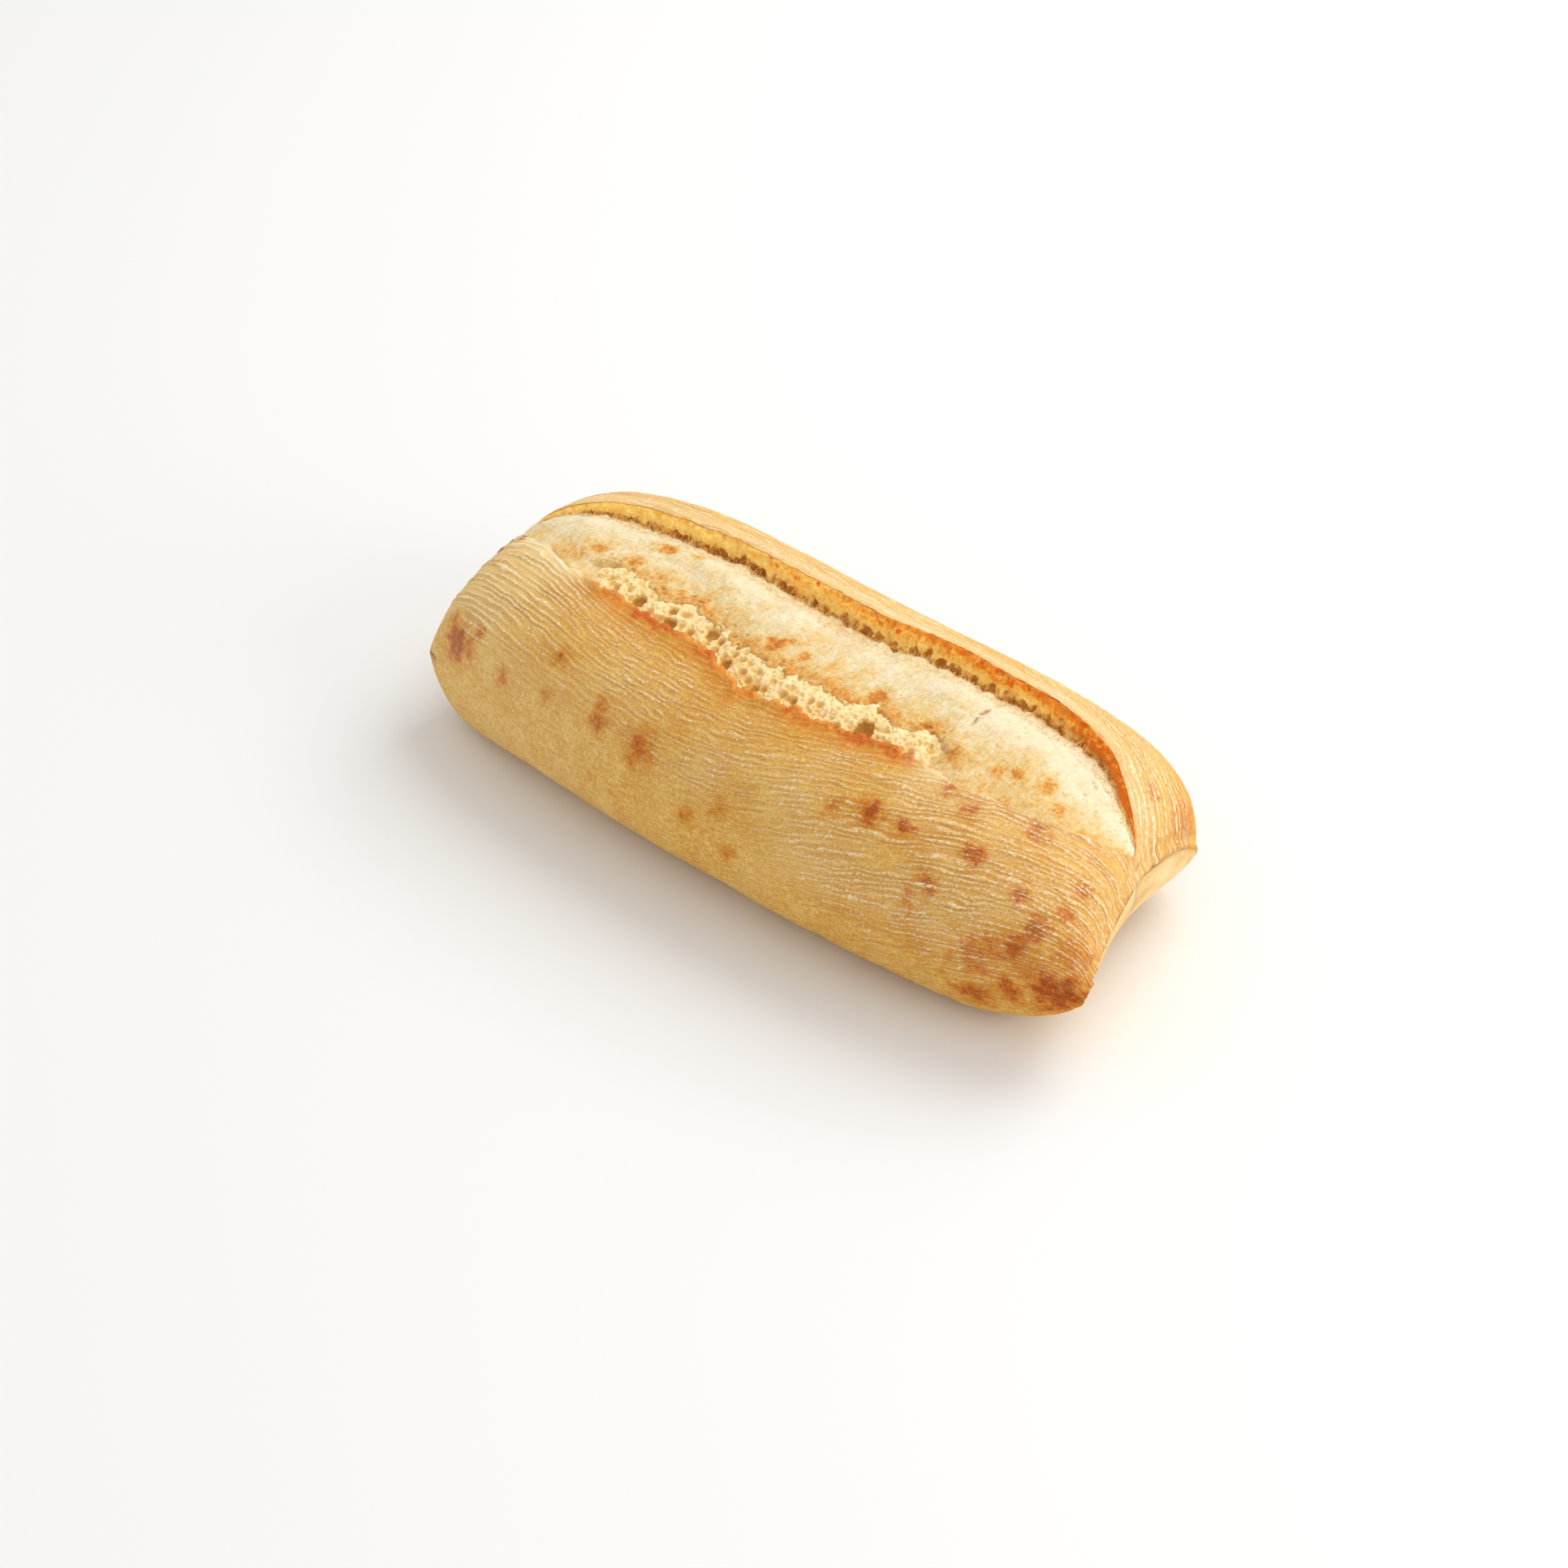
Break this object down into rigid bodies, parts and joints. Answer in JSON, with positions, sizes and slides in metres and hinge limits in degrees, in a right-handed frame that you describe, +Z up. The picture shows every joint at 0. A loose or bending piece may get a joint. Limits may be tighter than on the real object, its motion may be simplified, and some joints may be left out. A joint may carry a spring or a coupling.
{
  "type": "ciabatta loaf",
  "caption": "Whole baked ciabatta loaf: a low pillow of bread with pinched ends, a flat base and a long slash torn open on pale crumb.",
  "frame": {"origin": "centre of the loaf's outline on the surface that it rests on", "axes": "+X along the loaf, +Y across it, from the wide near side to the side with the raised ear, +Z up"},
  "size_m": [0.2763, 0.1166, 0.0652],
  "materials": {
    "crust": "baked bread crust: golden, matt, finely wrinkled along the loaf, dusted with flour and flecked with brown",
    "crumb": "torn bread crumb: cream, soft and open, lightly toasted in patches"
  },
  "bodies": {
    "root": {"loaf": "crust"}
  },
  "joints": []
}
